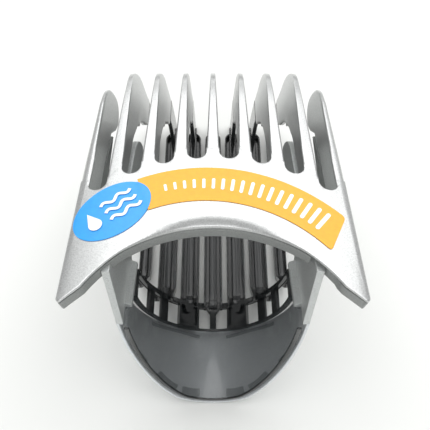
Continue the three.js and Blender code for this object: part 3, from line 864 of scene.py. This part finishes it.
# %% Geometry Nodes helper and rib row
def node_tree(name, inputs):
    """A new tree with named inputs. Returns the tree, its inputs by name, and a function that closes it."""
    tree = bpy.data.node_groups.new(name, "GeometryNodeTree")
    tree.interface.new_socket("Geometry", in_out="OUTPUT", socket_type="NodeSocketGeometry")
    names = {key: tree.interface.new_socket(key, in_out="INPUT", socket_type=kind).identifier
             for key, kind in inputs.items()}
    group_in = tree.nodes.new("NodeGroupInput")
    sockets = {key: Socket(tree, group_in.outputs[key]) for key in inputs}

    def close(instances):
        real = instances.node("GeometryNodeRealizeInstances", None, {"Geometry": instances})
        finish = {"Geometry": real, "Material": sockets["Finish"]}
        dressed = real.node("GeometryNodeSetMaterial", None, finish)
        out = tree.nodes.new("NodeGroupOutput")
        tree.links.new(dressed.socket, out.inputs["Geometry"])

    return tree, names, sockets, close


def run_tree(tree, names, values):
    """Runs a tree on an empty object and returns the result as a plain mesh."""
    host = bpy.data.objects.new(tree.name, bpy.data.meshes.new(tree.name))
    bpy.context.scene.collection.objects.link(host)
    modifier = host.modifiers.new(tree.name, "NODES")
    modifier.node_group = tree
    for key, value in values.items():
        modifier[names[key]] = value
    bpy.context.view_layer.update()
    ready = host.evaluated_get(bpy.context.evaluated_depsgraph_get())
    mesh = bpy.data.meshes.new_from_object(ready)
    bpy.data.objects.remove(host)
    return mesh


def rib_row_tree():
    tree, names, given, close = node_tree("rib row", {
        "Rib": "NodeSocketObject", "Count": "NodeSocketInt", "Pitch": "NodeSocketFloat",
        "Finish": "NodeSocketMaterial",
    })
    first = (1 - given["Count"]) * given["Pitch"] * 0.5
    start = first.node("ShaderNodeCombineXYZ", None, {"X": first})
    step = start.node("ShaderNodeCombineXYZ", None, {"X": given["Pitch"]})
    line = step.node("GeometryNodeMeshLine", None, {
        "Count": given["Count"], "Start Location": start, "Offset": step,
    })
    part = line.node("GeometryNodeObjectInfo", None, {"Object": given["Rib"]}, output="Geometry")
    close(part.node("GeometryNodeInstanceOnPoints", None, {"Points": line, "Instance": part}))
    return tree, names


ribs = run_tree(*rib_row_tree(), {"Rib": pattern, "Count": 7, "Pitch": TOOTH_PITCH, "Finish": smoke_ribs})
bpy.data.objects.remove(pattern)
print("rib row:", len(ribs.polygons), "faces")

# %% [markdown]
# At the hoop each rib climbs to meet the curved trough, and the outer ones climb furthest. The row is flat so
# far, so every point is raised by the climb of its own rib. The outermost ribs are also narrower.

# %% Bending the ribs up to the hoop
OUTER_RIB_SHARE = 0.67
HOOP_REACH = 21


def hoop_height(x):
    """The height of the liner's inner face at a place across, at most the reach of the outer ribs."""
    inside = liner_section.outer_x - LINER_THICKNESS
    share = min(abs(x) / inside, 1)
    depth = liner_section.depth - LINER_THICKNESS
    return min(CURVE_TOP - depth * math.sqrt(1 - share * share), HOOP_REACH)


def rib_climb(x):
    """The underside of one rib as a table of s and height."""
    top = hoop_height(x)
    under = bezier((HOOP_NEAR_S, max(top - 3, 0.9)), (1.2, 0.6 * top), (1.4 + 0.35 * top, 0))
    return [p.x for p in under], [p.y for p in under]


climbs = {i: rib_climb(i * TOOTH_PITCH) for i in range(-3, 4)}
for vert in ribs.vertices:
    x, s, h = vert.co
    i = max(-3, min(3, round(x / TOOTH_PITCH)))
    if abs(i) == 3:
        x = i * TOOTH_PITCH + (x - i * TOOTH_PITCH) * OUTER_RIB_SHARE
    if h > RIB_HEIGHT:
        h = RIB_HEIGHT + (h - RIB_HEIGHT) * (1 - crown_drop(x) / face_height(s))
    vert.co = row(x, s, h + float(np.interp(s, *climbs[i])))
finish_piece("rib_row", ribs, smoke_ribs)

# %% [markdown]
# The stickers are thin films. The orange band follows the arch of the face and tucks under the blue oval, so
# the oval rises over the band's edge, as a second sticker does.

# %% Stickers
BAND_X, BAND_S, BAND_INNER, BAND_OUTER, BAND_CORNER = -1.5, -25.8, 28.7, 36.5, 0.9
BAND_OUTER_START, BAND_INNER_START, BAND_END = 46.5, 41.8, 110
OVAL_X, OVAL_S, OVAL_LONG, OVAL_SHORT, OVAL_TURN = -17.9, 1.7, 7.6, 5.5, 38
FILM, FILM_LIFT = 0.12, 0.02


def band_point(radius, angle):
    turn = math.radians(angle)
    return Vector((BAND_X + radius * math.cos(turn), BAND_S + radius * math.sin(turn)))


def band_outline():
    inner = band_point(BAND_INNER, BAND_INNER_START)
    outer = band_point(BAND_OUTER, BAND_OUTER_START)
    edge = (outer - inner).normalized() * BAND_CORNER
    outer_turn = BAND_OUTER_START + math.degrees(BAND_CORNER / BAND_OUTER)
    inner_turn = BAND_INNER_START + math.degrees(BAND_CORNER / BAND_INNER)
    return [
        *bezier(band_point(BAND_INNER, inner_turn), inner, inner + edge, 5),
        *bezier(outer - edge, outer, band_point(BAND_OUTER, outer_turn), 5),
        *arc(BAND_X, BAND_S, BAND_OUTER, outer_turn, BAND_END, 48),
        *arc(BAND_X, BAND_S, BAND_INNER, BAND_END, inner_turn, 48),
    ]


def on_oval(along, across):
    """A point of the oval sticker, measured from its middle along and across its long axis."""
    turn = math.radians(OVAL_TURN)
    return Vector((
        OVAL_X + along * math.cos(turn) - across * math.sin(turn),
        OVAL_S + along * math.sin(turn) + across * math.cos(turn),
    ))


def band_rise(x, s):
    """The height of the orange band under a point, eased at its edges."""
    radius = math.hypot(x - BAND_X, s - BAND_S)
    angle = math.degrees(math.atan2(s - BAND_S, x - BAND_X))
    inside = min(radius - BAND_INNER, BAND_OUTER - radius, math.radians(BAND_END - angle) * radius)
    return FILM * min(max(inside / 0.5 + 1, 0), 1)


def film_place(lift, rise=None):
    """Places a film with its underside a little above the face, or above what lies under it."""
    return lambda x, s, w: on_face(x, s, w - FILM - lift - (rise(x, s) if rise else 0))


band = rounded_slab(band_outline(), FILM, 0.05, film_place(FILM_LIFT), step=1.2, rounds=2)
finish_piece("length_band", [band], orange_film, ["length_label"])
turns = np.linspace(0, 2 * math.pi, 65)[:-1]
oval_outline = [on_oval(OVAL_LONG * math.cos(t), OVAL_SHORT * math.sin(t)) for t in turns]
oval = rounded_slab(
    oval_outline, FILM, 0.05, film_place(FILM_LIFT, band_rise), step=0.7, rounds=2, cross=(0.7, None, None)
)
finish_piece("wash_oval", [oval], blue_film, ["wash_label"])

# %% [markdown]
# The print on the stickers is white. A row of bars that grow along the band stands for the range of cutting
# lengths. Geometry Nodes puts the bars on an arc, turns each one outwards, and scales it by its number.

# %% Printed bars
BAR_COUNT, BAR_FIRST_ANGLE, BAR_SWEEP = 18, 50.5, 52
BAR_LONG, BAR_SHORT, BAR_WIDTH, PRINT = 4.6, 1.6, 0.8, 0.03
BAR_MIDDLE_RADIUS = (BAND_INNER + BAND_OUTER) / 2


def bar_tree():
    tree, names, given, close = node_tree("bar row", {
        "Bar": "NodeSocketObject", "Count": "NodeSocketInt", "Radius": "NodeSocketFloat",
        "First Angle": "NodeSocketFloat", "Sweep": "NodeSocketFloat", "Short Share": "NodeSocketFloat",
        "Finish": "NodeSocketMaterial",
    })
    count = given["Count"]
    curve = count.node("GeometryNodeCurveArc", {"mode": "RADIUS"}, {
        "Resolution": 64, "Radius": given["Radius"], "Start Angle": given["First Angle"],
        "Sweep Angle": given["Sweep"],
    })
    points = curve.node("GeometryNodeCurveToPoints", {"mode": "COUNT"}, {"Curve": curve, "Count": count})
    index = points.node("GeometryNodeInputIndex")
    share = index.maths("DIVIDE", index, count - 1)
    turn = share.node("ShaderNodeCombineXYZ", None, {"Z": given["First Angle"] + share * given["Sweep"]})
    size = share.node("ShaderNodeCombineXYZ", None, {
        "X": 1 - share * (1 - given["Short Share"]), "Y": 1 - share * 0.35, "Z": 1.0,
    })
    part = points.node("GeometryNodeObjectInfo", None, {"Object": given["Bar"]}, output="Geometry")
    close(part.node("GeometryNodeInstanceOnPoints", None, {
        "Points": points, "Instance": part, "Rotation": turn, "Scale": size,
    }))
    return tree, names


def stadium(length, width, steps=4):
    """A bar with round ends along u."""
    half, radius = length / 2 - width / 2, width / 2
    return arc(half, 0, radius, -90, 90, steps) + arc(-half, 0, radius, 90, 270, steps)


bar = bpy.data.objects.new("bar", one_mesh("bar", [
    rounded_slab(
        stadium(BAR_LONG, BAR_WIDTH), PRINT, 0.01, lambda u, v, w: Vector((u, v, PRINT - w)), rounds=1
    )
]))
bpy.context.scene.collection.objects.link(bar)
bars = run_tree(*bar_tree(), {
    "Bar": bar, "Count": BAR_COUNT, "Radius": BAR_MIDDLE_RADIUS, "First Angle": math.radians(BAR_FIRST_ANGLE),
    "Sweep": math.radians(BAR_SWEEP), "Short Share": BAR_SHORT / BAR_LONG, "Finish": white_print,
})
bpy.data.objects.remove(bar)
for vert in bars.vertices:
    x, s, h = vert.co
    vert.co = on_face(x + BAND_X, s + BAND_S, -FILM - FILM_LIFT - 0.02 - h)
finish_piece("length_bars", bars, white_print)

# %% [markdown]
# The oval says that the comb may be washed. A drop and three waves say that without words. A wave is a thick
# stroke along a sine curve, and the drop is a circle drawn out to a point.


# %% Printed drop and waves
def stroke(points, width):
    """The outline of a line of some width along the points."""
    left, right = [], []
    for i, point in enumerate(points):
        along = (points[min(i + 1, len(points) - 1)] - points[max(i - 1, 0)]).normalized()
        side = Vector((-along.y, along.x)) * width / 2
        left.append(point + side)
        right.append(point - side)
    return right + left[::-1]


def wave(across, length, start):
    """A wave along the oval."""
    turns = np.linspace(0, 4 * math.pi, 41)
    return [Vector((start + length * t / (4 * math.pi), across + 0.42 * math.sin(t))) for t in turns]


def drop(along, across, radius):
    """A drop with its point up, across the oval."""
    round_part = arc(along, across, radius, 150, 390, 20)
    return [*round_part, (along, across + 2.4 * radius)]


def on_oval_film(u, v, w):
    point = on_oval(u, v)
    return on_face(point.x, point.y, w - PRINT - 2 * FILM - FILM_LIFT - 0.03)


marks = [drop(-3.9, -0.8, 1.25)]
marks += [stroke(wave(across, 6.2, -1.2), 0.62) for across in (-1.9, 0, 1.9)]
prints = [rounded_slab(mark, PRINT, 0.01, on_oval_film, step=0.8, rounds=1) for mark in marks]
finish_piece("wash_marks", prints, white_print)

# %% [markdown]
# The bond pads are CAD solids that stay: thin grey patches between liner and shell, seen through the liner.

# %% Finish on the bond pads
pads = [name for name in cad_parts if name.endswith(("_left", "_right"))]
for name in pads:
    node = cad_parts[name]
    if not node.material_slots:
        node.data.materials.append(bond_grey)
    node.material_slots[0].material = bond_grey
print(len(pads), "bond pads have their finish")

# %% [markdown]
# The set is a pale table, a grey-white room and two soft lights: a large one behind and above, which the
# silver mirrors, and a weak one in front.

# %% Floor and lights
FLOOR_SIZE = 3.0
corners = [(-FLOOR_SIZE, -FLOOR_SIZE, 0), (FLOOR_SIZE, -FLOOR_SIZE, 0), (FLOOR_SIZE, FLOOR_SIZE, 0),
           (-FLOOR_SIZE, FLOOR_SIZE, 0)]
floor_mesh = bpy.data.meshes.new("floor")
floor_mesh.from_pydata(corners, [], [(0, 1, 2, 3)])
floor = bpy.data.objects.new("floor", floor_mesh)
bpy.context.scene.collection.objects.link(floor)
floor.location.z = -0.0002
floor_paint, floor_shader, _ = new_material("floor", Roughness=0.7)
floor_shader.inputs["Base Color"].default_value = (0.86, 0.87, 0.85, 1)
floor_mesh.materials.append(floor_paint)

world = bpy.data.worlds.new("room")
world.use_nodes = True
world.node_tree.nodes["Background"].inputs["Color"].default_value = (1, 1, 1, 1)
world.node_tree.nodes["Background"].inputs["Strength"].default_value = 0.46
bpy.context.scene.world = world
bpy.context.scene.view_settings.view_transform = "Standard"


def softbox(name, place, target, width, depth, power):
    lamp = bpy.data.lights.new(name, "AREA")
    lamp.shape, lamp.size, lamp.size_y, lamp.energy = "RECTANGLE", width, depth, power
    light = bpy.data.objects.new(name, lamp)
    light.location = place
    light.rotation_euler = (Vector(target) - Vector(place)).to_track_quat("-Z", "Y").to_euler()
    bpy.context.scene.collection.objects.link(light)
    return light


softbox("back_softbox", (0.05, 0.4, 0.74), (0, 0, 0.02), 1.3, 1.2, 9.6)
softbox("front_fill", (0.0, -0.5, 0.35), (0, 0, 0.0), 0.3, 0.3, 0.6)
